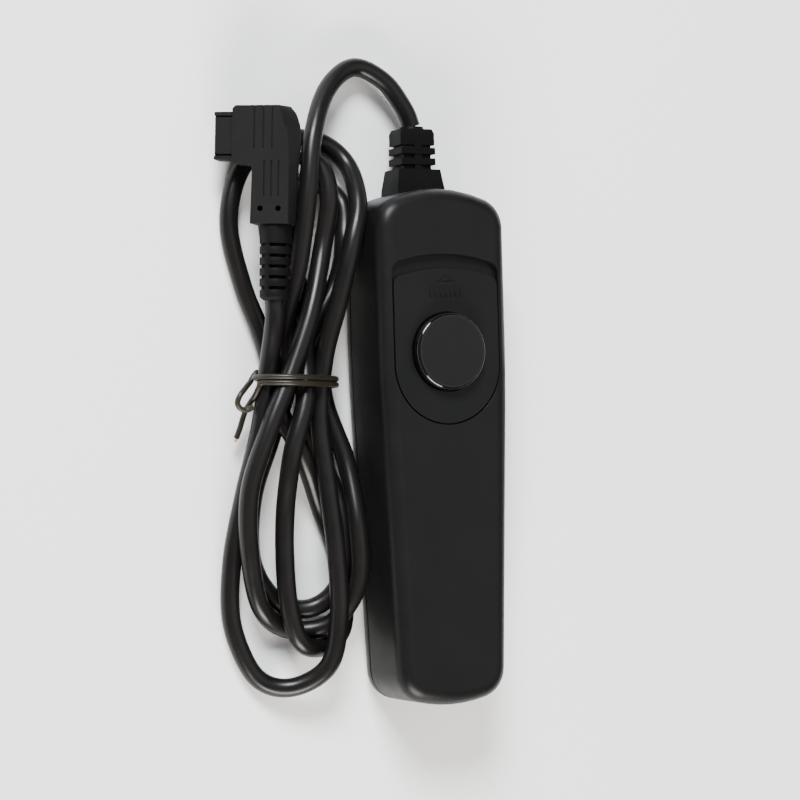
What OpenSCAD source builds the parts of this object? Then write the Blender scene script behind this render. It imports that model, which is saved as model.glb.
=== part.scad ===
// Wired shutter release: two-shell housing with a sliding hold plate, a round
// push button and leaf contacts, on a cord that is tied in a hank and ends in
// an angled three-socket camera plug. Millimetres. The housing's back lies on
// z = 0, +Z leaves the button face, +Y points to the end the cord leaves.

/* [Housing] */
// Length of the housing between its end walls
housing_l = 100; // [96:1:110]
// Width of the housing at its broad upper part
housing_w = 28; // [27:0.5:30]
// Thickness of the housing from back to front
housing_t = 17.5; // [17.5:0.5:19]
// Slope of each side wall towards the narrow lower end
side_taper = 0.044; // [0.03:0.002:0.05]
// Height of the parting line above the back
seam_z = 4; // [4:0.25:5]
// Wall thickness of the front shell
wall = 1.8; // [1.4:0.1:1.8]
// Rounding of the front edge
front_r = 3; // [2:0.25:3]
// Rounding of the back edge
back_r = 3; // [3:0.25:4]

/* [Hold slider] */
// Width of the recess that the slider runs in
recess_w = 23.2; // [22.6:0.1:23.4]
// Depth of the recess
recess_depth = 1.2; // [1:0.1:1.2]
// Gap between the slider and the recess wall
slider_gap = 0.3; // [0.2:0.05:0.3]
// Travel of the slider towards the cord end
slide_travel = 2.5; // [2:0.25:2.5]

/* [Button] */
// Diameter of the push button
button_d = 15; // [14:0.25:15.25]
// Height of the button above the slider
button_proud = 2; // [1.5:0.1:2.2]
// Travel of the button
button_travel = 2; // [1:0.1:2]

/* [Cord] */
// Outer diameter of the cord
cord_d = 3.7; // [3.4:0.1:3.7]
// Outer diameter of the ribs on the plug's strain relief
relief_d = 6; // [5.5:0.1:6.2]

/* [Plug] */
// Width of the plug's stem
stem_w = 8; // [7.6:0.1:8.4]
// Length of the plug's stem
stem_l = 11.2; // [10.8:0.1:11.6]
// Length of the plug's head along the stem
head_l = 11.2; // [11:0.1:11.8]
// Thickness of the plug
plug_t = 7; // [6.6:0.1:7.4]
// Distance between neighbouring sockets
socket_pitch = 2.5; // [2.4:0.1:2.6]

/* [Hidden] */

eps = 0.01;
half_l = housing_l / 2;

// Housing outline: arched ends, round corners, sides that narrow downwards
end_r = 28;
corner_r = 6;
seam_groove = 0.2;
taper_top = 20;
taper_blend = 14;
low_w = 2 * half_w(-43);
arch_y = half_l - end_r;

// Slider, centred on the button
button_y = 18.2;
recess_r = recess_w / 2;
recess_low_y = button_y - 2.5;
recess_top_y = button_y + 18.9;
slider_top_y = recess_top_y - slide_travel - slider_gap;
recess_sag = 1.9;
recess_corner = 2.2;
floor_t = 1.4;
face_z = housing_t;
recess_z = face_z - recess_depth;
floor_z = recess_z - floor_t;
slide_clear = 0.05;
plate_z = recess_z + slide_clear;
plate_top = face_z - slide_clear;
skirt_r = 9.6;
skirt_bore = 8.6;
ear_r = 1.3;
ear_y = 9.6;
slot_gap = 0.25;

// Retainer under the recess floor, with the cup that guides the button
flange_r = 11.6;
flange_t = 1.2;
flange_top = floor_z - slide_clear;
cup_floor_z = 11.4;
cup_floor_t = 1;

// Button, spring and plunger
button_clear = 0.25;
button_flange_r = 8.35;
button_flange_t = 1.1;
button_flange_top = plate_z - 0.15;
button_round = 0.75;
plunger_r = 2;
plunger_clear = 0.06;
nib_r = 0.6;
nib_tip_z = 9.85;

// Contact leaves, clamped in a stack at stack_y and reaching under the plunger
leaf_t = 0.2;
leaf_w = 5;
common_z = 9.6;
focus_z = 8.6;
release_z = 7;
hinge_y = button_y - 14.8;
leaf_gap = 0.15;
stack_l = 9;
stack_y = hinge_y - stack_l / 2;
stack_w = 14;
base_z = 6;
common_reach = 18.6;
focus_reach = 15.5;
release_reach = 14;

// Screws
screw_xy = [[8.4, 41.6], [-8.4, 41.6], [0, -40.5]];
boss_r = 2.6;
contact_screw_x = 4.8;

// Body strain relief: a ribbed block round the cord, set in the parting line
relief_z = 5;
relief_len = 13;

// Cord route from the body strain relief to the plug strain relief
CORD_ROUTE = [
    [0, 63, 5], [-1.4, 66.6, 4.8], [-5.4, 72.1, 4], [-11.5, 74.7, 3], [-18, 70, 4.5],
    [-23, 60.5, 8], [-25, 48.5, 9], [-26.5, 36, 7.5], [-28.5, 24, 4.8], [-27.5, 12.5, 2.6],
    [-31, 2, 1.9], [-35, -9, 1.9], [-35.5, -21, 1.9], [-30.5, -29, 1.9], [-23.5, -30.4, 3.4],
    [-18.4, -25, 5.5], [-18, -13, 5.5], [-19.8, -2, 1.9], [-23.6, 10.5, 2.6], [-24.8, 23, 1.9],
    [-29, 35, 1.9], [-30.5, 46, 1.9], [-29.5, 53, 1.9], [-25, 57, 4], [-20.5, 54.5, 6],
    [-19.5, 48, 7], [-21, 38.5, 6.5], [-25, 26.5, 9], [-29.8, 15, 9.8], [-35, 4, 10.2],
    [-38.5, -7.5, 8.5], [-38, -19, 6.5], [-35, -30, 4.5], [-28, -34.5, 2], [-20.5, -33.5, 5],
    [-16.2, -26, 8.4], [-16.2, -15, 9], [-16.6, -2.5, 5.5], [-19.6, 9, 3], [-20.6, 21.5, 1.9],
    [-24.5, 33.5, 1.9], [-26.5, 42, 1.9], [-25, 49.5, 1.9], [-20, 52, 1.9], [-15.5, 48, 4],
    [-16.5, 40.5, 7], [-17.5, 32.5, 5.5], [-24.4, 21, 5.8], [-26.8, 9.5, 9.3], [-30, -1, 9.5],
    [-30.5, -13.5, 6.5], [-30.5, -26, 6.5], [-29, -34, 6.3], [-26.3, -37.6, 5.5], [-21, -38, 3],
    [-16.5, -34.5, 1.9], [-16.5, -24.5, 1.9], [-20.5, -12, 1.9], [-26, -1, 5.7], [-30.7, 8, 5.7],
    [-31.5, 20, 1.9], [-36, 32, 1.9], [-38.5, 44, 1.9], [-35.5, 54.5, 1.9], [-28, 60, 1.9],
    [-19, 60, 1.9], [-14, 55.5, 4], [-14.5, 47.5, 9.5], [-17, 39.5, 11.5], [-19.4, 28.5, 10],
    [-21.6, 18, 7.6], [-22.8, 6.5, 7], [-22, -6, 8], [-21, -19.5, 9], [-21, -32, 9.5],
    [-22.5, -41.5, 7.5], [-29, -45.5, 4], [-35.5, -43, 1.9], [-40, -33, 1.9], [-40, -21, 2.5],
    [-38, -8.5, 4.5], [-35.2, 4, 6.4], [-33.4, 16, 7.3], [-33.1, 24.5, 9.8], [-33, 28.5, 10]];

// Plug: its strain relief starts at the cord's end
plug_relief_l = 14.4;
plug_roll = 39;
plug_turn = 2.5;

// Wire tie: twice round the bundle, its ends crossed in a knot beside it. The
// ring is (x, z) round the bundle; each turn moves on by tie_pitch in y, and
// the ring leans by tie_lean per millimetre of x.
tie_d = 1.1;
tie_pitch = 1.14;
tie_y = 12.9;
tie_lean = 0.06;
TIE_RING = [[-36, 6.6], [-35.5, 8.8], [-33.8, 10.8], [-31, 12.4], [-28, 12.1], [-25.2, 11.1],
    [-22.5, 9.8], [-20.2, 8.6], [-18.5, 6], [-17.7, 3.4], [-18.1, 1.4], [-20, 0.6],
    [-23.6, 0.6], [-27.2, 0.6], [-29.8, 1], [-32.4, 1.9], [-34.6, 4.2]];
TIE_TAIL = [[-38.7, 2.6, 3.2], [-38.1, 4.5, 3.7], [-37.7, 6.4, 4.3], [-37.3, 8, 5],
    [-36.8, 9.4, 6.1], [-36.3, 10.8, 7.4], [-36, 12, 8.2]];
TIE_KNOT = [[-35.9, 13.3, 4.2], [-37, 12.7, 5.5], [-38.2, 11.8, 6.5], [-39.4, 10.7, 7.1],
    [-39.9, 9.3, 6.9], [-39.2, 8.2, 6.7], [-37.9, 7.9, 6.8], [-36.8, 8.5, 7.4]];

// ---------- helpers ----------

function half_w(y) = housing_w / 2 - (y < taper_top
    ? side_taper * pow(taper_top - y, 2) / (taper_top - y + taper_blend) : 0);

// Centre of a corner's arc for a half width h, measured from the arch's centre
function corner_c(h) = [h - corner_r, sqrt(pow(end_r - corner_r, 2) - pow(h - corner_r, 2))];
function arc(c, r, a0, a1, n) = [for (i = [0:n]) let (a = a0 + (a1 - a0) * i / n)
    [c[0] + r * sin(a), c[1] + r * cos(a)]];

// Right half of the outline from the top of the arch down, inset by d
function right_half(d) = let (
    ct = corner_c(housing_w / 2), at = atan2(ct[0], ct[1]),
    cb = corner_c(low_w / 2), ab = atan2(cb[0], cb[1]),
    y_top = arch_y + ct[1], y_low = -arch_y - cb[1], n_side = 12)
    concat(
        arc([0, arch_y], end_r - d, 0, at * 2 / 3, 2),
        arc([ct[0], y_top], corner_r - d, at, 90, 6),
        [for (i = [1:n_side - 1]) let (y = y_top + (y_low - y_top) * i / n_side)
            [half_w(y) - d, y]],
        arc([cb[0], y_low], corner_r - d, 90, 180 - ab, 6),
        arc([0, -arch_y], end_r - d, 180 - ab * 2 / 3, 180, 2));
function mirrored(half) = [for (i = [len(half) - 2:-1:1]) [-half[i][0], half[i][1]]];
function outline(d) = let (half = right_half(d)) concat(half, mirrored(half));

// Closed skin through rings of equal length; each ring is [inset, z]
module loft(profile) {
    rings = [for (p = profile) [for (q = outline(p[0])) [q[0], q[1], p[1]]]];
    n = len(rings[0]);
    last = len(rings) - 1;
    points = [for (ring = rings) for (p = ring) p];
    faces = concat(
        [[for (i = [n - 1:-1:0]) i]],
        [for (k = [0:last - 1]) for (i = [0:n - 1]) let (j = (i + 1) % n)
            [k * n + i, k * n + j, (k + 1) * n + j, (k + 1) * n + i]],
        [[for (i = [0:n - 1]) last * n + i]]);
    polyhedron(points, faces, convexity = 4);
}

// Tube of radius r along a path, as one polyhedron
module sweep(path, r, sides = 8) {
    n = len(path);
    tangents = [for (i = [0:n - 1]) unit(path[min(i + 1, n - 1)] - path[max(i - 1, 0)])];
    frames = carry(tangents, [start_normal(tangents[0])], 1);
    points = [for (i = [0:n - 1]) let (u = frames[i], v = cross(tangents[i], u))
        for (k = [0:sides - 1]) let (a = 360 * k / sides)
            path[i] + r * (cos(a) * u + sin(a) * v)];
    skin(points, sides);
}

// Closed skin through rings of n points each, from the first ring to the last
module skin(points, n, cap = []) {
    last = len(points) / n - 1;
    start = len(cap) > 0 ? cap : [[for (k = [0:n - 1]) k]];
    polyhedron(points, concat(
        start,
        [for (i = [0:last - 1]) for (k = [0:n - 1]) let (m = (k + 1) % n)
            [i * n + k, (i + 1) * n + k, (i + 1) * n + m, i * n + m]],
        [for (q = start) [for (k = [len(q) - 1:-1:0]) last * n + q[k]]]), convexity = 12);
}
function unit(v) = v / norm(v);
function start_normal(t) = unit(cross(t, abs(t[2]) < 0.9 ? [0, 0, 1] : [1, 0, 0]));
// Carries the first normal along the path without twist
function carry(t, out, i) = i >= len(t) ? out
    : carry(t, concat(out, [unit(out[i - 1] - (out[i - 1] * t[i]) * t[i])]), i + 1);

// Plan of the recess and of the slider: round below, arched above, with
// corners of radius rc where the arch meets the sides
module slider_plan(r, top_y, sag, rc) {
    arch_r = (r * r + sag * sag) / (2 * sag);
    cy = top_y - arch_r;
    yc = cy + sqrt(pow(arch_r - rc, 2) - pow(r - rc, 2));
    at = atan2(r - rc, yc - cy);
    half = concat(arc([0, cy], arch_r, 0, at, 16), arc([r - rc, yc], rc, at + 6, 90, 6),
        arc([0, recess_low_y], r, 90, 180, 32));
    polygon(concat(half, mirrored(half)));
}

// Slot in the recess floor that the slider's skirt passes through
module skirt_slot() {
    for (y = [0, slide_travel]) translate([0, button_y + y]) {
        circle(skirt_r + slot_gap, $fn = 96);
        for (s = [-1, 1]) translate([0, s * ear_y]) circle(ear_r + slot_gap, $fn = 32);
    }
    translate([-skirt_r - slot_gap, button_y])
        square([2 * (skirt_r + slot_gap), slide_travel]);
}

// Round-headed screw pointing up: the head's face is at z = 0
module screw(head_r, head_h, shaft_r, shaft_l) {
    difference() {
        translate([0, 0, -head_h]) cylinder(head_h, head_r, head_r, $fn = 40);
        for (a = [0, 90]) rotate([0, 0, a])
            translate([-head_r * 0.6, -head_r * 0.13, -head_h - eps])
                cube([head_r * 1.2, head_r * 0.26, head_h * 0.55]);
    }
    cylinder(shaft_l, shaft_r, shaft_r, $fn = 32);
}

module place_plug() {
    translate(CORD_ROUTE[len(CORD_ROUTE) - 1]) rotate([0, -plug_roll, 0])
        rotate([0, 0, -plug_turn]) translate([0, plug_relief_l, 0]) children();
}

// ---------- housing ----------

module relief_notch(grow) {
    translate([-5.25 - grow, half_l - 4, relief_z - 3.6 - grow])
        cube([10.5 + 2 * grow, 6, 7.2 + 2 * grow]);
}

module front_shell() color([0.05, 0.05, 0.055]) {
    fillet = [for (a = [0:22.5:90]) [front_r * (1 - cos(a)), housing_t - front_r * (1 - sin(a))]];
    difference() {
        loft(concat([[seam_groove, seam_z], [0, seam_z + seam_groove]], fillet));
        difference() {
            translate([0, 0, seam_z - 1])
                linear_extrude(floor_z - seam_z + 1) polygon(outline(wall));
            for (p = screw_xy) translate([p[0], p[1], seam_z - 2])
                cylinder(housing_t, boss_r, boss_r, $fn = 40);
        }
        translate([0, 0, recess_z]) linear_extrude(4)
            slider_plan(recess_r, recess_top_y, recess_sag, recess_corner);
        translate([0, 0, floor_z - 1]) linear_extrude(4) skirt_slot();
        for (p = screw_xy) translate([p[0], p[1], seam_z - 1])
            cylinder(9, 0.9, 0.9, $fn = 32);
        relief_notch(0.05);
    }
}

module back_shell() color([0.05, 0.05, 0.055]) {
    fillet = [for (a = [0:22.5:90]) [back_r * (1 - sin(a)), back_r * (1 - cos(a))]];
    floor_h = 1.6;
    lip_in = wall + 0.1;
    difference() {
        union() {
            difference() {
                loft(concat(fillet, [[0, seam_z - seam_groove], [seam_groove, seam_z]]));
                translate([0, 0, floor_h]) linear_extrude(seam_z) polygon(outline(2.8));
            }
            // lip that locates the front shell
            difference() {
                translate([0, 0, seam_z - 1]) linear_extrude(2.2) polygon(outline(lip_in));
                translate([0, 0, seam_z - 2]) linear_extrude(5) polygon(outline(2.8));
                translate([-7, half_l - 6, seam_z]) cube([14, 8, 4]);
                for (p = screw_xy) translate([p[0], p[1], seam_z])
                    cylinder(4, boss_r + 0.2, boss_r + 0.2, $fn = 40);
            }
            for (p = screw_xy) translate([p[0], p[1], 1])
                cylinder(seam_z - 1, 3, 3, $fn = 40);
            // posts for the contact stack
            for (s = [-1, 1]) translate([s * contact_screw_x, stack_y, 1])
                cylinder(base_z - 1, 1.8, 1.8, $fn = 32);
            // saddle under the cord clamp
            translate([-7.2, 35, 1]) cube([14.4, 4, relief_z - cord_d / 2 - 1]);
        }
        for (p = screw_xy) translate([p[0], p[1], -1]) {
            cylinder(8, 1.15, 1.15, $fn = 32);
            cylinder(2.9, 2.2, 2.2, $fn = 40);
        }
        for (s = [-1, 1]) translate([s * contact_screw_x, stack_y, 2])
            cylinder(6, 0.75, 0.75, $fn = 32);
        for (s = [-1, 1]) translate([s * 5, 37, 1.8]) cylinder(6, 0.75, 0.75, $fn = 32);
        relief_notch(0.05);
    }
}

module case_screws() color("silver")
    for (p = screw_xy) translate([p[0], p[1], 1.9]) screw(2, 1.4, 0.85, 9.5);

// ---------- slider and button ----------

module hold_slider() color([0.06, 0.06, 0.065]) {
    difference() {
        union() {
            translate([0, 0, plate_z]) linear_extrude(plate_top - plate_z)
                slider_plan(recess_r - slider_gap, slider_top_y, recess_sag, recess_corner - slider_gap);
            translate([0, button_y, flange_top]) {
                cylinder(plate_z - flange_top, skirt_r, skirt_r, $fn = 96);
                for (s = [-1, 1]) translate([0, s * ear_y, 0])
                    cylinder(plate_z - flange_top, ear_r, ear_r, $fn = 32);
            }
        }
        translate([0, button_y, flange_top - 1])
            cylinder(plate_z - flange_top + 1, skirt_bore, skirt_bore, $fn = 96);
        translate([0, button_y, plate_z - 1])
            cylinder(4, button_d / 2 + button_clear, button_d / 2 + button_clear, $fn = 96);
        for (s = [-1, 1]) translate([0, button_y + s * ear_y, flange_top - 1])
            cylinder(2.2, 0.5, 0.5, $fn = 24);
        // arrow that points the way to the hold position
        translate([0, slider_top_y - 2.7, plate_top - 0.15]) linear_extrude(1) difference() {
            polygon([[-2, 0], [0, 1.75], [2, 0]]);
            polygon([[-1.1, 0.3], [0, 1.25], [1.1, 0.3]]);
        }
    }
    // grip ribs below the arrow
    for (i = [-3:3]) translate([i * 1.1, slider_top_y - 4.5, plate_top])
        translate([-0.22, -0.9, -eps]) cube([0.44, 1.8, 0.2]);
}

module slider_retainer() color([0.12, 0.12, 0.13]) {
    translate([0, button_y, 0]) difference() {
        union() {
            translate([0, 0, flange_top - flange_t]) cylinder(flange_t, flange_r, flange_r, $fn = 96);
            translate([0, 0, cup_floor_z - cup_floor_t])
                cylinder(flange_top - cup_floor_z + cup_floor_t, skirt_r, skirt_r, $fn = 96);
        }
        translate([0, 0, cup_floor_z]) cylinder(9, skirt_bore, skirt_bore, $fn = 96);
        translate([0, 0, 5])
            cylinder(9, plunger_r + plunger_clear, plunger_r + plunger_clear, $fn = 48);
        for (s = [-1, 1]) translate([0, s * ear_y, 5]) {
            cylinder(20, 0.65, 0.65, $fn = 24);
            cylinder(flange_top - flange_t - 4.4, 1.2, 1.2, $fn = 32);
        }
    }
}

module retainer_screws() color("silver")
    for (s = [-1, 1]) translate([0, button_y + s * ear_y, flange_top - flange_t + 0.6])
        screw(1, 0.6, 0.45, 1.6);

module shutter_button() color([0.03, 0.03, 0.035]) {
    top_z = plate_top + button_proud;
    r = button_d / 2;
    translate([0, button_y, 0]) rotate_extrude($fn = 96) polygon(concat(
        [[0, nib_tip_z], [nib_r, nib_tip_z], [nib_r, nib_tip_z + 0.5], [plunger_r, nib_tip_z + 0.9],
            [plunger_r, button_flange_top - button_flange_t],
            [button_flange_r, button_flange_top - button_flange_t],
            [button_flange_r, button_flange_top], [r, button_flange_top]],
        [for (a = [0:15:90])
            [r - button_round * (1 - cos(a)), top_z - button_round * (1 - sin(a))]],
        [[0, top_z]]));
}

module button_spring() color("silver") {
    turns = 3;
    steps = 14;
    wire = 0.22;
    coil_r = 5.4;
    low = cup_floor_z + wire + 0.02;
    high = button_flange_top - button_flange_t - wire - 0.02;
    path = [for (i = [0:turns * steps]) let (f = i / (turns * steps), a = 360 * turns * f)
        [coil_r * cos(a), button_y + coil_r * sin(a), low + (high - low) * f]];
    sweep(path, wire, 6);
}

// ---------- contacts ----------

module contact_base() color([0.75, 0.72, 0.62]) difference() {
    translate([-stack_w / 2, stack_y - stack_l / 2, base_z])
        cube([stack_w, stack_l, release_z - base_z]);
    for (s = [-1, 1]) translate([s * contact_screw_x, stack_y, base_z - 1])
        cylinder(4, 0.8, 0.8, $fn = 32);
}

module leaf_spacers() color([0.75, 0.72, 0.62])
    for (span = [[release_z + leaf_t, focus_z], [focus_z + leaf_t, common_z],
            [common_z + leaf_t, common_z + leaf_t + 1]])
        difference() {
            translate([-stack_w / 2, stack_y - stack_l / 2, span[0]])
                cube([stack_w, stack_l - 0.05, span[1] - span[0]]);
            for (s = [-1, 1]) translate([s * contact_screw_x, stack_y, span[0] - 1])
                cylinder(4, 0.8, 0.8, $fn = 32);
        }

// Clamped end of a leaf with its solder tail, offset so that the tails are apart
module terminal(z, tail_x) difference() {
    union() {
        translate([-stack_w / 2 + 0.5, stack_y - stack_l / 2 + 0.3, z])
            cube([stack_w - 1, stack_l - 0.3 - leaf_gap, leaf_t]);
        translate([tail_x - 0.8, stack_y - stack_l / 2 - 3, z]) cube([1.6, 3.5, leaf_t]);
    }
    for (s = [-1, 1]) translate([s * contact_screw_x, stack_y, z - 1])
        cylinder(4, 0.8, 0.8, $fn = 32);
}

module leaf_terminals() color("gold") {
    terminal(common_z, -4);
    terminal(focus_z, 0);
    terminal(release_z, 4);
}

module leaf(z, reach) color("gold")
    translate([-leaf_w / 2, hinge_y, z]) cube([leaf_w, reach, leaf_t]);
module common_leaf() leaf(common_z, common_reach);
module focus_leaf() leaf(focus_z, focus_reach);
module release_leaf() leaf(release_z, release_reach);

module contact_screws() color("silver")
    for (s = [-1, 1]) translate([s * contact_screw_x, stack_y, common_z + leaf_t + 1])
        rotate([180, 0, 0]) screw(1.4, 0.9, 0.65, 7.5);

// ---------- cord entry ----------

module body_strain_relief() color([0.06, 0.06, 0.065]) {
    core_w = 6;
    core_t = 4.4;
    // flange inside the end wall and neck through it
    translate([-6.5, half_l - 3.9 - 1.6, relief_z - 3.3]) cube([13, 1.5, 6.6]);
    translate([-5.25, half_l - 4, relief_z - 3.6]) cube([10.5, 4, 7.2]);
    // tapered base
    hull() {
        translate([-5.25, half_l - eps, relief_z - 3.6]) cube([10.5, 0.3, 7.2]);
        translate([-4.6, half_l + 4.2, relief_z - 3.1]) cube([9.2, 0.3, 6.2]);
    }
    // core, two ribs, the webs between them, the end block and its neck
    translate([-core_w / 2, half_l + 4, relief_z - core_t / 2]) cube([core_w, 8, core_t]);
    for (i = [0, 1]) translate([-3.75, half_l + 5.4 + 2.1 * i, relief_z - 2.8])
        cube([7.5, 1.3, 5.6]);
    for (s = [-1, 1]) translate([-0.85, half_l + 4, relief_z + (s > 0 ? core_t / 2 - 0.1 : -2.7)])
        cube([1.7, 6, 0.6]);
    hull() {
        translate([-3.75, half_l + 9.3, relief_z - 2.5]) cube([7.5, 2.3, 5]);
        translate([-3.4, half_l + 9.3, relief_z - 2.2]) cube([6.8, 3.2, 4.4]);
    }
    translate([0, half_l + 9, relief_z]) rotate([-90, 0, 0])
        cylinder(relief_len - 9, 2.35, 2.35, $fn = 40);
}

module cord_clamp() color([0.75, 0.72, 0.62]) difference() {
    translate([-7, 35.2, relief_z - cord_d / 2 + 0.05]) cube([14, 3.6, 4.4]);
    translate([0, 34, relief_z]) rotate([-90, 0, 0])
        cylinder(6, cord_d / 2 + 0.03, cord_d / 2 + 0.03, $fn = 48);
    translate([-cord_d / 2 - 0.03, 34, relief_z - 3]) cube([cord_d + 0.06, 6, 3]);
    for (s = [-1, 1]) translate([s * 5, 37, 0]) cylinder(12, 0.8, 0.8, $fn = 32);
}

module clamp_screws() color("silver")
    for (s = [-1, 1]) translate([s * 5, 37, relief_z - cord_d / 2 + 4.45])
        rotate([180, 0, 0]) screw(1.4, 0.8, 0.65, 5.6);

// One inner wire from the cord's end to a solder tail
module inner_wire(x, tail_x, z) {
    tail_y = stack_y - stack_l / 2 - 2.2;
    sweep([[x, 33.4, relief_z], [x * 1.5, 30, 4], [tail_x * 2.2, 22, 2.6], [tail_x * 2.2, 8, 2.6],
        [tail_x * 2.2, -4, 2.6], [tail_x * 1.6, tail_y - 4, 3.4], [tail_x, tail_y - 3, z - 2],
        [tail_x, tail_y, z - 0.5]], 0.45, 8);
}
module common_wire() color("gold") inner_wire(-1, -4, common_z);
module focus_wire() color("white") inner_wire(0, 0, focus_z);
module release_wire() color("red") inner_wire(1, 4, release_z);

// ---------- cord, plug and tie ----------

module cord() color([0.04, 0.04, 0.045]) {
    sweep(CORD_ROUTE, cord_d / 2, 8);
    translate([0, half_l - 5.5, relief_z]) rotate([90, 0, 0])
        cylinder(half_l - 5.5 - 33.5, cord_d / 2, cord_d / 2, $fn = 32);
}

// Ring of the plug's skin at height t: c is how far its upper outer corner is
// cut back, g how far the whole outline is drawn in
function plug_ring(t, c, g) = [for (p = [[-stem_w / 2 - 0.25 + g, 0], [stem_w / 2 - 0.7 - g, 0],
    [stem_w / 2 - 0.35 - 0.4 * c - g, stem_l / 2], [stem_w / 2 - 0.75 * c - g, stem_l + 0.8],
    [stem_w / 2 + 0.4 - 1.15 * c - g, stem_l + 4.4],
    [stem_w / 2 + 0.5 - 1.6 * c - g, stem_l + 6.4],
    [stem_w / 2 + 0.3 - 2.26 * c - g, stem_l + 8],
    [stem_w / 2 - 0.4 - 2.1 * c - g, stem_l + head_l - 1.2],
    [stem_w / 2 - 1.4 - 1.64 * c - g, stem_l + head_l - g], [-7.4 + g, stem_l + head_l - g],
    [-8 + g, stem_l + head_l - 0.6 - g], [-8 + g, stem_l + 0.5 + g],
    [-7.7 + g, stem_l + 0.2 + g], [-4.6 + g, stem_l + g], [-4.05 + g, stem_l - 0.5 + g],
    [-stem_w / 2 + g, stem_l - 2.4]]) [p[0], p[1], t]];
// The L-shaped end faces are cut into triangles that all stay inside the outline
PLUG_CAP = concat([[0, 1, 2], [0, 2, 15], [2, 3, 15], [3, 14, 15], [3, 13, 14]],
    [for (k = [3:11]) [k, k + 1, 13]]);
module plug_half(rings) skin([for (q = rings) each plug_ring(q[0], q[1], q[2])], 16, PLUG_CAP);

module tongue_pocket() translate([-12, stem_l + 1.2, -1.5]) cube([9.6, 9.05, 3.9]);

module plug_front_shell() color([0.07, 0.07, 0.075]) place_plug() difference() {
    plug_half([[0, 0, 0], [1.5, 0.4, 0], [plug_t / 2 - 0.15, 0.95, 0], [plug_t / 2, 1, 0.15]]);
    tongue_pocket();
    for (i = [0:2]) {
        translate([-3.7 + 1.75 * i, stem_l + 3.1, plug_t / 2 - 0.35]) cube([0.28, 9.5, 1]);
        translate([-1.68 + 1.4 * i, 5.2, plug_t / 2 - 0.35]) cube([0.28, 6.7, 1]);
    }
    for (s = [-1, 1]) translate([-0.5 + s * 1.75, 2.85, plug_t / 2 - 2.5])
        cylinder(4, 0.55, 0.55, $fn = 32);
}

module plug_back_shell() color([0.07, 0.07, 0.075]) place_plug() difference() {
    plug_half([[-plug_t / 2, 0.5, 0.8], [-plug_t / 2 + 0.15, 0.4, 0.5],
        [-plug_t / 2 + 0.5, 0.3, 0.25], [-2.2, 0.15, 0.05], [0, 0, 0]]);
    tongue_pocket();
}

module socket_rows(r, x0, x1) for (i = [-1:1])
    translate([x0, stem_l + 5.5 + i * socket_pitch, 0.6]) rotate([0, 90, 0])
        cylinder(x1 - x0, r, r, $fn = 32);

module plug_tongue() color([0.09, 0.09, 0.095]) place_plug() difference() {
    union() {
        translate([-7.95, stem_l + 1.25, -1.45]) cube([5.5, 8.95, 3.8]);
        translate([-11.55, stem_l + 1.25, -1.4]) cube([3.75, 8.65, 3.7]);
        // thicker middle and the rails along both edges
        translate([-11.45, stem_l + 2, 2.2]) cube([3.4, 7, 0.7]);
        for (y = [0.95, 9.3]) translate([-11.55, stem_l + y, -1.2]) cube([3.45, 0.7, 4.3]);
    }
    socket_rows(0.9, -12.5, -4.6);
}

module plug_sockets() color("gold") place_plug() difference() {
    socket_rows(0.88, -11.4, -4.65);
    socket_rows(0.6, -12, -6);
}

module plug_strain_relief() color([0.07, 0.07, 0.075]) place_plug() {
    r = relief_d / 2;
    core = 2;
    pitch = 2.04;
    slot = 0.65;
    collar = 3.6;
    ribs_end = collar + slot + 4 * pitch;
    rotate([90, 0, 0]) {
        cylinder(collar, r + 0.05, r, $fn = 40);
        cylinder(plug_relief_l, core, core, $fn = 40);
        for (i = [0:3]) translate([0, 0, collar + slot + i * pitch])
            cylinder(pitch - slot, r - 0.02 * i, r - 0.02 * i, $fn = 40);
        for (a = [18:90:288]) rotate([0, 0, a]) translate([core - 0.3, -0.4, 1])
            cube([r - core + 0.15, 0.8, ribs_end - 0.5]);
        translate([0, 0, ribs_end]) cylinder(1.4, r - 0.1, r - 0.1, $fn = 40);
        translate([0, 0, ribs_end + 1.4])
            cylinder(plug_relief_l - ribs_end - 1.4, r - 0.1, 2.2, $fn = 40);
    }
}

module cord_tie() color([0.12, 0.1, 0.06]) {
    n = len(TIE_RING);
    turns = [for (i = [1:2 * n - 1]) let (p = TIE_RING[i % n])
        [p[0], tie_y + tie_pitch * i / n - tie_lean * (p[0] + 36), p[1]]];
    sweep(concat(TIE_TAIL, turns, TIE_KNOT), tie_d / 2, 8);
}

// Bare end of the tie's wire
module tie_core() color([0.7, 0.35, 0.15]) {
    tip = TIE_TAIL[0];
    along = unit(tip - TIE_TAIL[1]);
    sweep([tip, tip + 0.4 * along, tip + 0.8 * along], 0.28, 8);
}

front_shell();
back_shell();
case_screws();
hold_slider();
slider_retainer();
retainer_screws();
shutter_button();
button_spring();
contact_base();
leaf_terminals();
common_leaf();
focus_leaf();
release_leaf();
leaf_spacers();
contact_screws();
body_strain_relief();
cord_clamp();
clamp_screws();
common_wire();
focus_wire();
release_wire();
cord();
plug_front_shell();
plug_back_shell();
plug_tongue();
plug_sockets();
plug_strain_relief();
cord_tie();
tie_core();
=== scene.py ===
"""Looks of the wired shutter release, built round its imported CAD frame."""

import math

import bmesh
import bpy
from mathutils import Matrix, Vector


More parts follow.
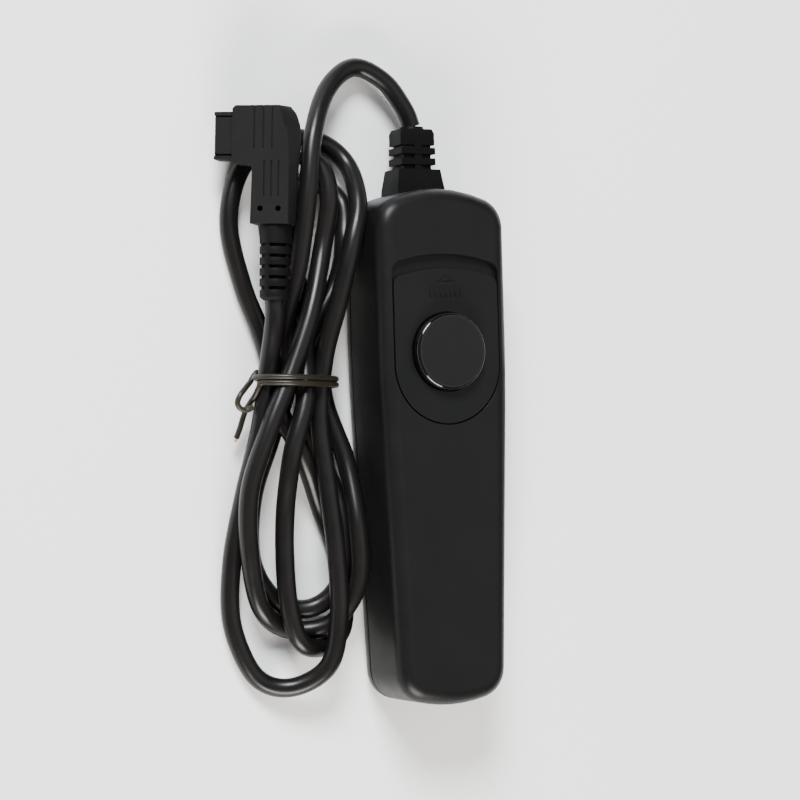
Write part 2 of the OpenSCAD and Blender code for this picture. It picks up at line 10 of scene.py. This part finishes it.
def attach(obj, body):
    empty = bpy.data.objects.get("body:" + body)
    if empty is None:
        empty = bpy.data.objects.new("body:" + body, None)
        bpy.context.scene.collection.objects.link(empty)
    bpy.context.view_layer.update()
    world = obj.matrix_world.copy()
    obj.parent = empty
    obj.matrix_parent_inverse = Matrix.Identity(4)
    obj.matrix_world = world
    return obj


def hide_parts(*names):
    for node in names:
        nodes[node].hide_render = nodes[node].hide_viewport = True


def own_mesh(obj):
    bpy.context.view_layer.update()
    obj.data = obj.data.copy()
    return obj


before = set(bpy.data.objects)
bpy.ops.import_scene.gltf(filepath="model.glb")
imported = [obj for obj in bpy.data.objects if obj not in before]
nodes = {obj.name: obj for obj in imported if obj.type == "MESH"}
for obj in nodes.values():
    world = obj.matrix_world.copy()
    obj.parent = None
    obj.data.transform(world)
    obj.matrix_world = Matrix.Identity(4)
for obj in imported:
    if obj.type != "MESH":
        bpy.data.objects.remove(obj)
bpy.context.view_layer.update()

MM = 0.001


# ---------- camera ----------

VIEW_LEFT = math.radians(27.5)  # how far the camera leans to the housing's left
VIEW_LOW = math.radians(1.0)
ROLL = math.radians(1.6)
DISTANCE = 0.52
TARGET = Vector((-0.00575, 0.00922, 0.008))
LENS = 120


def add_camera():
    back = Vector((
        -math.sin(VIEW_LEFT) * math.cos(VIEW_LOW),
        -math.sin(VIEW_LOW),
        math.cos(VIEW_LEFT) * math.cos(VIEW_LOW),
    ))
    level = Vector((0, 1, 0)).cross(back).normalized()
    upright = back.cross(level)
    right = level * math.cos(ROLL) - upright * math.sin(ROLL)
    up = upright * math.cos(ROLL) + level * math.sin(ROLL)
    place = Matrix((right, up, back)).transposed().to_4x4()
    place.translation = TARGET + back * DISTANCE
    data = bpy.data.cameras.new("camera")
    data.lens = LENS
    data.clip_start = 0.01
    camera = bpy.data.objects.new("camera", data)
    camera.matrix_world = place
    bpy.context.scene.collection.objects.link(camera)
    bpy.context.scene.camera = camera


# ---------- building ----------


def add_object(name, data, material, body):
    piece = bpy.data.objects.new(name, data)
    bpy.context.scene.collection.objects.link(piece)
    for one in material if isinstance(material, tuple) else (material,):
        data.materials.append(one)
    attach(piece, body)
    return piece


def tube(name, points, radius, material, body, sides=6):
    """A round wire along points in metres."""
    curve = bpy.data.curves.new(name, "CURVE")
    curve.dimensions = "3D"
    curve.bevel_depth = radius
    curve.bevel_resolution = sides
    curve.use_fill_caps = True
    spline = curve.splines.new("POLY")
    spline.points.add(len(points) - 1)
    for target, point in zip(spline.points, points):
        target.co = (*point, 1)
    spline.use_smooth = True
    return add_object(name, curve, material, body)


def smooth_route(points, steps):
    """Catmull-Rom curve through points, in metres."""
    knots = [Vector(p) * MM for p in points]
    knots = [2 * knots[0] - knots[1]] + knots + [2 * knots[-1] - knots[-2]]
    route = []
    for a, b, c, d in zip(knots, knots[1:], knots[2:], knots[3:]):
        for i in range(steps):
            t = i / steps
            route.append(0.5 * (2 * b + (c - a) * t + (2 * a - 5 * b + 4 * c - d) * t * t
                                + (3 * b - a - 3 * c + d) * t ** 3))
    route.append(knots[-2])
    return route


def mesh_from(name, build, material, body):
    bm = bmesh.new()
    build(bm)
    data = bpy.data.meshes.new(name)
    bm.to_mesh(data)
    bm.free()
    return add_object(name, data, material, body)


def revolve(bm, profile, centre, sides, index_of=lambda i: 0):
    """Turns a profile of (radius, height) in mm about a vertical axis at centre, also in mm."""
    rings = []
    for radius, height in profile:
        if radius == 0:
            rings.append([bm.verts.new((centre[0] * MM, centre[1] * MM, height * MM))])
        else:
            rings.append([
                bm.verts.new((
                    (centre[0] + radius * math.cos(2 * math.pi * k / sides)) * MM,
                    (centre[1] + radius * math.sin(2 * math.pi * k / sides)) * MM,
                    height * MM,
                ))
                for k in range(sides)
            ])
    for i, (low, high) in enumerate(zip(rings, rings[1:])):
        for k in range(sides):
            m = (k + 1) % sides
            corners = [low[k % len(low)], low[m % len(low)], high[m % len(high)], high[k % len(high)]]
            corners = list(dict.fromkeys(corners))
            face = bm.faces.new(corners)
            face.smooth = True
            face.material_index = index_of(i)
    bmesh.ops.recalc_face_normals(bm, faces=bm.faces)


def smooth_group():
    """Geometry nodes that shade every face smooth."""
    group = bpy.data.node_groups.new("shade_smooth", "GeometryNodeTree")
    group.interface.new_socket("Geometry", in_out="INPUT", socket_type="NodeSocketGeometry")
    group.interface.new_socket("Geometry", in_out="OUTPUT", socket_type="NodeSocketGeometry")
    start = group.nodes.new("NodeGroupInput")
    smooth = group.nodes.new("GeometryNodeSetShadeSmooth")
    end = group.nodes.new("NodeGroupOutput")
    group.links.new(start.outputs[0], smooth.inputs[0])
    group.links.new(smooth.outputs[0], end.inputs[0])
    return group


SMOOTH = smooth_group()


WELD_GAP = 0.002  # mm
FLAT_ANGLE = 0.5  # degrees, below which neighbouring faces become one
EDGE_ANGLE = 35  # degrees, above which an edge is rounded
EDGE_SEGMENTS = 2


def refine(node, edge):
    """Rounds a CAD node's sharp edges by edge mm, and shades what lies between them smooth."""
    piece = nodes[node]
    weld = piece.modifiers.new("weld", "WELD")
    weld.merge_threshold = WELD_GAP * MM
    flat = piece.modifiers.new("flat", "DECIMATE")
    flat.decimate_type = "DISSOLVE"
    flat.angle_limit = math.radians(FLAT_ANGLE)
    if edge:
        bevel = piece.modifiers.new("edge", "BEVEL")
        bevel.width = edge * MM
        bevel.segments = EDGE_SEGMENTS
        bevel.limit_method = "ANGLE"
        bevel.angle_limit = math.radians(EDGE_ANGLE)
        bevel.use_clamp_overlap = True
    smooth = piece.modifiers.new("smooth", "NODES")
    smooth.node_group = SMOOTH
    normals = piece.modifiers.new("normals", "WEIGHTED_NORMAL")
    normals.keep_sharp = False
    normals.weight = 90


# ---------- materials ----------


# What the noise texture's value mostly stays between
NOISE_LOW = 0.3
NOISE_HIGH = 0.7


def noise(tree, coords, scale, detail, roughness=0.6):
    node = tree.nodes.new("ShaderNodeTexNoise")
    node.inputs["Scale"].default_value = scale
    node.inputs["Detail"].default_value = detail
    node.inputs["Roughness"].default_value = roughness
    tree.links.new(coords, node.inputs["Vector"])
    return node.outputs["Fac"]


def spread(tree, value, low, high):
    """Maps a noise value's usual range to low..high."""
    node = tree.nodes.new("ShaderNodeMapRange")
    node.inputs["From Min"].default_value = NOISE_LOW
    node.inputs["From Max"].default_value = NOISE_HIGH
    node.inputs["To Min"].default_value = low
    node.inputs["To Max"].default_value = high
    tree.links.new(value, node.inputs["Value"])
    return node.outputs["Result"]


def ramp(tree, value, dark, light):
    """Maps a noise value's usual range to the colours from dark to light."""
    node = tree.nodes.new("ShaderNodeValToRGB")
    stops = ((NOISE_LOW, dark), (NOISE_HIGH, light))
    for element, (place, colour) in zip(node.color_ramp.elements, stops):
        element.position = place
        element.color = (*colour, 1)
    tree.links.new(value, node.inputs["Fac"])
    return node.outputs["Color"]


def bump(tree, height, strength, distance):
    node = tree.nodes.new("ShaderNodeBump")
    node.inputs["Strength"].default_value = strength
    node.inputs["Distance"].default_value = distance
    tree.links.new(height, node.inputs["Height"])
    return node.outputs["Normal"]


def surface(name, metallic=0.0, specular=0.5):
    """A new material, its node tree, its shader and the object's own coordinates."""
    material = bpy.data.materials.new(name)
    material.use_nodes = True
    tree = material.node_tree
    shader = tree.nodes["Principled BSDF"]
    shader.inputs["Metallic"].default_value = metallic
    shader.inputs["Specular IOR Level"].default_value = specular
    coords = tree.nodes.new("ShaderNodeTexCoord").outputs["Object"]
    return material, tree, shader, coords


def moulded(name, dark, light, gloss, grain_mm=0.12, grain_depth=0.004, specular=0.5):
    """Moulded plastic: spark-eroded grain, handling marks in the gloss and faint colour drift."""
    material, tree, shader, coords = surface(name, specular=specular)
    drift = noise(tree, coords, 60, 3)
    tree.links.new(ramp(tree, drift, dark, light), shader.inputs["Base Color"])
    smears = noise(tree, coords, 220, 5, 0.65)
    tree.links.new(spread(tree, smears, gloss[0], gloss[1]), shader.inputs["Roughness"])
    grain = noise(tree, coords, 1 / (grain_mm * MM), 2)
    tree.links.new(bump(tree, grain, 0.6, grain_depth * MM), shader.inputs["Normal"])
    return material


def metal(name, dark, light, gloss, brush=(1, 1, 1)):
    """Bare or plated metal with fine draw lines."""
    material, tree, shader, coords = surface(name, metallic=1.0)
    stretch = tree.nodes.new("ShaderNodeMapping")
    stretch.inputs["Scale"].default_value = brush
    tree.links.new(coords, stretch.inputs["Vector"])
    lines = noise(tree, stretch.outputs["Vector"], 2500, 3)
    tree.links.new(ramp(tree, lines, dark, light), shader.inputs["Base Color"])
    tree.links.new(spread(tree, lines, gloss[0], gloss[1]), shader.inputs["Roughness"])
    tree.links.new(bump(tree, lines, 0.3, 0.002 * MM), shader.inputs["Normal"])
    return material


HOUSING = moulded("housing_plastic", (0.0035, 0.0035, 0.0038), (0.0048, 0.0046, 0.0048), gloss=(0.36, 0.44),
    grain_mm=0.16, grain_depth=0.004, specular=0.16)
SLIDER = moulded("slider_plastic", (0.0034, 0.0036, 0.0039), (0.0048, 0.0048, 0.0051), gloss=(0.38, 0.48),
    grain_mm=0.16, grain_depth=0.005, specular=0.15)
BUTTON_TOP = moulded("button_top", (0.004, 0.004, 0.0042), (0.005, 0.005, 0.0052), gloss=(0.34, 0.42),
    grain_mm=0.2, grain_depth=0.003, specular=0.2)
BUTTON_EDGE = moulded("button_edge", (0.002, 0.002, 0.002), (0.003, 0.003, 0.003), gloss=(0.05, 0.1),
    grain_mm=0.4, grain_depth=0.0005, specular=0.4)
PLUG = moulded("plug_plastic", (0.004, 0.004, 0.0043), (0.006, 0.0058, 0.006), gloss=(0.55, 0.68),
    grain_mm=0.22, grain_depth=0.012, specular=0.12)
SOFT = moulded("soft_black", (0.002, 0.0019, 0.0019), (0.0034, 0.0031, 0.003), gloss=(0.5, 0.62),
    grain_mm=0.3, grain_depth=0.008, specular=0.09)
JACKET = moulded("cord_jacket", (0.004, 0.0037, 0.0037), (0.0065, 0.0058, 0.0056), gloss=(0.28, 0.37),
    grain_mm=0.6, grain_depth=0.008, specular=0.22)
TIE = moulded("tie_jacket", (0.01, 0.008, 0.0055), (0.016, 0.0128, 0.0085), gloss=(0.34, 0.46),
    grain_mm=0.5, grain_depth=0.01, specular=0.3)
INSULATOR = moulded("insulator", (0.55, 0.5, 0.4), (0.66, 0.6, 0.5), (0.4, 0.55), grain_mm=0.2)
WIRE_BLACK = moulded("wire_black", (0.02, 0.02, 0.02), (0.03, 0.03, 0.03), (0.3, 0.4))
WIRE_WHITE = moulded("wire_white", (0.75, 0.74, 0.7), (0.85, 0.84, 0.8), (0.3, 0.4))
WIRE_RED = moulded("wire_red", (0.45, 0.03, 0.02), (0.6, 0.05, 0.035), (0.3, 0.4))
BRASS = metal("contact_brass", (0.62, 0.44, 0.18), (0.78, 0.58, 0.28), (0.22, 0.36), (0.2, 1, 1))
STEEL = metal("plated_steel", (0.5, 0.5, 0.5), (0.68, 0.68, 0.67), (0.2, 0.34))
COPPER = metal("bare_copper", (0.62, 0.28, 0.14), (0.85, 0.42, 0.24), (0.25, 0.4))


# ---------- cord ----------

CORD_D = 3.7
CORD_ROUTE = [
    (0, 63, 5), (-1.4, 66.6, 4.8), (-5.4, 72.1, 4), (-11.5, 74.7, 3), (-18, 70, 4.5),
    (-23, 60.5, 8), (-25, 48.5, 9), (-26.5, 36, 7.5), (-28.5, 24, 4.8), (-27.5, 12.5, 2.6),
    (-31, 2, 1.9), (-35, -9, 1.9), (-35.5, -21, 1.9), (-30.5, -29, 1.9), (-23.5, -30.4, 3.4),
    (-18.4, -25, 5.5), (-18, -13, 5.5), (-19.8, -2, 1.9), (-23.6, 10.5, 2.6), (-24.8, 23, 1.9),
    (-29, 35, 1.9), (-30.5, 46, 1.9), (-29.5, 53, 1.9), (-25, 57, 4), (-20.5, 54.5, 6),
    (-19.5, 48, 7), (-21, 38.5, 6.5), (-25, 26.5, 9), (-29.8, 15, 9.8), (-35, 4, 10.2),
    (-38.5, -7.5, 8.5), (-38, -19, 6.5), (-35, -30, 4.5), (-28, -34.5, 2), (-20.5, -33.5, 5),
    (-16.2, -26, 8.4), (-16.2, -15, 9), (-16.6, -2.5, 5.5), (-19.6, 9, 3), (-20.6, 21.5, 1.9),
    (-24.5, 33.5, 1.9), (-26.5, 42, 1.9), (-25, 49.5, 1.9), (-20, 52, 1.9), (-15.5, 48, 4),
    (-16.5, 40.5, 7), (-17.5, 32.5, 5.5), (-24.4, 21, 5.8), (-26.8, 9.5, 9.3), (-30, -1, 9.5),
    (-30.5, -13.5, 6.5), (-30.5, -26, 6.5), (-29, -34, 6.3), (-26.3, -37.6, 5.5), (-21, -38, 3),
    (-16.5, -34.5, 1.9), (-16.5, -24.5, 1.9), (-20.5, -12, 1.9), (-26, -1, 5.7), (-30.7, 8, 5.7),
    (-31.5, 20, 1.9), (-36, 32, 1.9), (-38.5, 44, 1.9), (-35.5, 54.5, 1.9), (-28, 60, 1.9),
    (-19, 60, 1.9), (-14, 55.5, 4), (-14.5, 47.5, 9.5), (-17, 39.5, 11.5), (-19.4, 28.5, 10),
    (-21.6, 18, 7.6), (-22.8, 6.5, 7), (-22, -6, 8), (-21, -19.5, 9), (-21, -32, 9.5),
    (-22.5, -41.5, 7.5), (-29, -45.5, 4), (-35.5, -43, 1.9), (-40, -33, 1.9), (-40, -21, 2.5),
    (-38, -8.5, 4.5), (-35.2, 4, 6.4), (-33.4, 16, 7.3), (-33.1, 24.5, 9.8), (-33, 28.5, 10)]


def add_cord():
    low = CORD_D / 2 * MM
    route = [Vector((p.x, p.y, max(p.z, low))) for p in smooth_route(CORD_ROUTE, 10)]
    cord = tube("cord_hank", route, low, JACKET, "housing", sides=8)
    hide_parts("cord")


INNER_END_Y = 33.5
INNER_END_L = 11
JACKET_WALL = 0.5


def add_inner_end():
    """The cord's end inside the housing, where its three wires leave the jacket."""
    r = CORD_D / 2
    profile = [(0, 0.4), (r - JACKET_WALL, 0.4), (r - JACKET_WALL + 0.1, 0), (r - 0.1, 0), (r, 0.1),
               (r, INNER_END_L), (0, INNER_END_L)]

    def build(bm):
        revolve(bm, profile, (0, 0), 40)
        turn = Matrix.Rotation(math.radians(-90), 4, "X")
        place = Matrix.Translation((0, INNER_END_Y * MM, CORD_ROUTE[0][2] * MM))
        bmesh.ops.transform(bm, matrix=place @ turn, verts=bm.verts)
    mesh_from("cord_inner_end", build, JACKET, "housing")


# ---------- tie ----------

TIE_D = 1.1
TIE_Y = 12.9
TIE_PITCH = 1.14
TIE_LEAN = 0.06
TIE_LEFT = -36
TIE_RING = [
    (-36, 6.6), (-35.5, 8.8), (-33.8, 10.8), (-31, 12.4), (-28, 12.1), (-25.2, 11.1), (-22.5, 9.8),
    (-20.2, 8.6), (-18.5, 6), (-17.7, 3.4), (-18.1, 1.4), (-20, 0.6), (-23.6, 0.6), (-27.2, 0.6),
    (-29.8, 1), (-32.4, 1.9), (-34.6, 4.2)]
TIE_TAIL = [
    (-38.7, 2.6, 3.2), (-38.1, 4.5, 3.7), (-37.7, 6.4, 4.3), (-37.3, 8, 5), (-36.8, 9.4, 6.1),
    (-36.3, 10.8, 7.4), (-36, 12, 8.2)]
TIE_KNOT = [
    (-35.9, 13.3, 4.2), (-37, 12.7, 5.5), (-38.2, 11.8, 6.5), (-39.4, 10.7, 7.1), (-39.9, 9.3, 6.9),
    (-39.2, 8.2, 6.7), (-37.9, 7.9, 6.8), (-36.8, 8.5, 7.4)]


def add_tie():
    """The loose end, two turns round the hank less the point where they begin, and the knot's loop."""
    count = len(TIE_RING)
    turns = [(x, TIE_Y + TIE_PITCH * i / count - TIE_LEAN * (x - TIE_LEFT), z)
             for i, (x, z) in enumerate(TIE_RING * 2)][1:]
    route = smooth_route(TIE_TAIL + turns + TIE_KNOT, 6)
    tie = tube("tie_wire", route, TIE_D / 2 * MM, TIE, "housing")
    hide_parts("cord_tie")


# ---------- button and spring ----------

BUTTON = (0, 18.2)
CAP_R = 7.5
CAP_TOP = 19.45
CAP_ROUND = 0.75
CAP_ROUND_STEPS = 8
FLANGE_R = 8.35
FLANGE_LOW = 15.1
FLANGE_HIGH = 16.2
PLUNGER_R = 2
PLUNGER_TIP_R = 0.6
PLUNGER_TIP = 9.85


def add_button():
    """The plunger, the flange and the cap, whose rounded edge is glossier than its top."""
    profile = [(0, PLUNGER_TIP), (PLUNGER_TIP_R, PLUNGER_TIP), (PLUNGER_TIP_R, PLUNGER_TIP + 0.5),
               (PLUNGER_R, PLUNGER_TIP + 0.9), (PLUNGER_R, FLANGE_LOW), (FLANGE_R, FLANGE_LOW),
               (FLANGE_R, FLANGE_HIGH), (CAP_R, FLANGE_HIGH)]
    wall = len(profile) - 1
    profile += [(CAP_R - CAP_ROUND * (1 - math.cos(a)), CAP_TOP - CAP_ROUND * (1 - math.sin(a)))
                for a in (math.pi / 2 * i / CAP_ROUND_STEPS for i in range(CAP_ROUND_STEPS + 1))]
    profile += [(CAP_R - CAP_ROUND - 0.35, CAP_TOP), (0, CAP_TOP)]
    last = len(profile) - 2

    def build(bm):
        revolve(bm, profile, BUTTON, 160, lambda i: 1 if wall <= i < last - 1 else 0)
    button = mesh_from("button_cap", build, (BUTTON_TOP, BUTTON_EDGE), "button")
    button.data.set_sharp_from_angle(angle=math.radians(40))
    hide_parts("shutter_button")


SPRING_R = 5.4
SPRING_WIRE_R = 0.22
SPRING_TURNS = 3
SPRING_STEPS = 32
SPRING_LOW = 11.64
SPRING_HIGH = 14.86


def add_spring():
    """The spring under the button, turned into a mesh because a curve can't be squashed."""
    route = []
    for i in range(SPRING_TURNS * SPRING_STEPS + 1):
        f = i / (SPRING_TURNS * SPRING_STEPS)
        a = 2 * math.pi * SPRING_TURNS * f
        x = BUTTON[0] + SPRING_R * math.cos(a)
        y = BUTTON[1] + SPRING_R * math.sin(a)
        route.append(Vector((x, y, SPRING_LOW + (SPRING_HIGH - SPRING_LOW) * f)) * MM)
    curve = tube("return_spring", route, SPRING_WIRE_R * MM, STEEL, "slider", sides=3)
    mesh = bpy.data.meshes.new_from_object(curve.evaluated_get(bpy.context.evaluated_depsgraph_get()))
    bpy.data.objects.remove(curve)
    spring = add_object("button_return_spring", mesh, STEEL, "slider")
    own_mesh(spring)
    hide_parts("button_spring")


# ---------- CAD nodes ----------

FINISHES = {
    "front_shell": (HOUSING, 0.14), "back_shell": (HOUSING, 0.14), "hold_slider": (SLIDER, 0.12),
    "slider_retainer": (SLIDER, 0.1), "case_screws": (STEEL, 0.08), "retainer_screws": (STEEL, 0.05),
    "contact_base": (INSULATOR, 0.1), "leaf_terminals": (BRASS, 0), "common_leaf": (BRASS, 0),
    "focus_leaf": (BRASS, 0), "release_leaf": (BRASS, 0), "leaf_spacers": (INSULATOR, 0.08),
    "contact_screws": (STEEL, 0.08), "body_strain_relief": (SOFT, 0.22), "cord_clamp": (INSULATOR, 0.15),
    "clamp_screws": (STEEL, 0.08), "common_wire": (WIRE_BLACK, 0), "focus_wire": (WIRE_WHITE, 0),
    "release_wire": (WIRE_RED, 0), "plug_front_shell": (PLUG, 0.08), "plug_back_shell": (PLUG, 0.1),
    "plug_tongue": (PLUG, 0.14), "plug_sockets": (BRASS, 0.04), "plug_strain_relief": (SOFT, 0.12),
    "tie_core": (COPPER, 0),
}


def finish_nodes():
    for name, (material, edge) in FINISHES.items():
        data = nodes[name].data
        data.materials.clear()
        data.materials.append(material)
        refine(name, edge)


# ---------- stage ----------


FLOOR_SIZE = 3
FLOOR_GAP = 0.0001  # keeps the floor clear of what lies on it


def add_floor():
    bm = bmesh.new()
    bmesh.ops.create_grid(bm, x_segments=1, y_segments=1, size=FLOOR_SIZE)
    data = bpy.data.meshes.new("floor")
    bm.to_mesh(data)
    bm.free()
    material, tree, shader, coords = surface("floor_card", specular=0.2)
    tint = noise(tree, coords, 8, 2)
    tree.links.new(ramp(tree, tint, (0.93, 0.93, 0.93), (0.95, 0.95, 0.95)), shader.inputs["Base Color"])
    shader.inputs["Roughness"].default_value = 0.8
    data.materials.append(material)
    floor = bpy.data.objects.new("floor", data)
    floor.location.z = -FLOOR_GAP
    bpy.context.scene.collection.objects.link(floor)


def add_light(name, place, size, power, colour=(1, 1, 1)):
    """A rectangular light aimed at the origin."""
    data = bpy.data.lights.new(name, "AREA")
    data.shape = "RECTANGLE"
    data.size, data.size_y = size
    data.energy = power
    data.color = colour
    light = bpy.data.objects.new(name, data)
    light.location = place
    light.rotation_euler = (-Vector(place)).to_track_quat("-Z", "Y").to_euler()
    bpy.context.scene.collection.objects.link(light)


def add_lights():
    world = bpy.data.worlds.new("studio")
    world.use_nodes = True
    background = world.node_tree.nodes["Background"]
    background.inputs["Color"].default_value = (1, 1, 1, 1)
    background.inputs["Strength"].default_value = 0.2
    bpy.context.scene.world = world
    add_light("softbox", (0.55, 0.1, 1.3), (1.3, 1.6), 7)
    add_light("key", (-0.45, 0.95, 0.85), (0.5, 0.45), 46, (0.95, 0.975, 1))
    add_light("fill", (-0.25, -1.2, 0.55), (0.9, 0.5), 48, (1, 0.97, 0.9))


add_camera()
add_cord()
add_inner_end()
add_tie()
add_button()
add_spring()
finish_nodes()
add_floor()
add_lights()
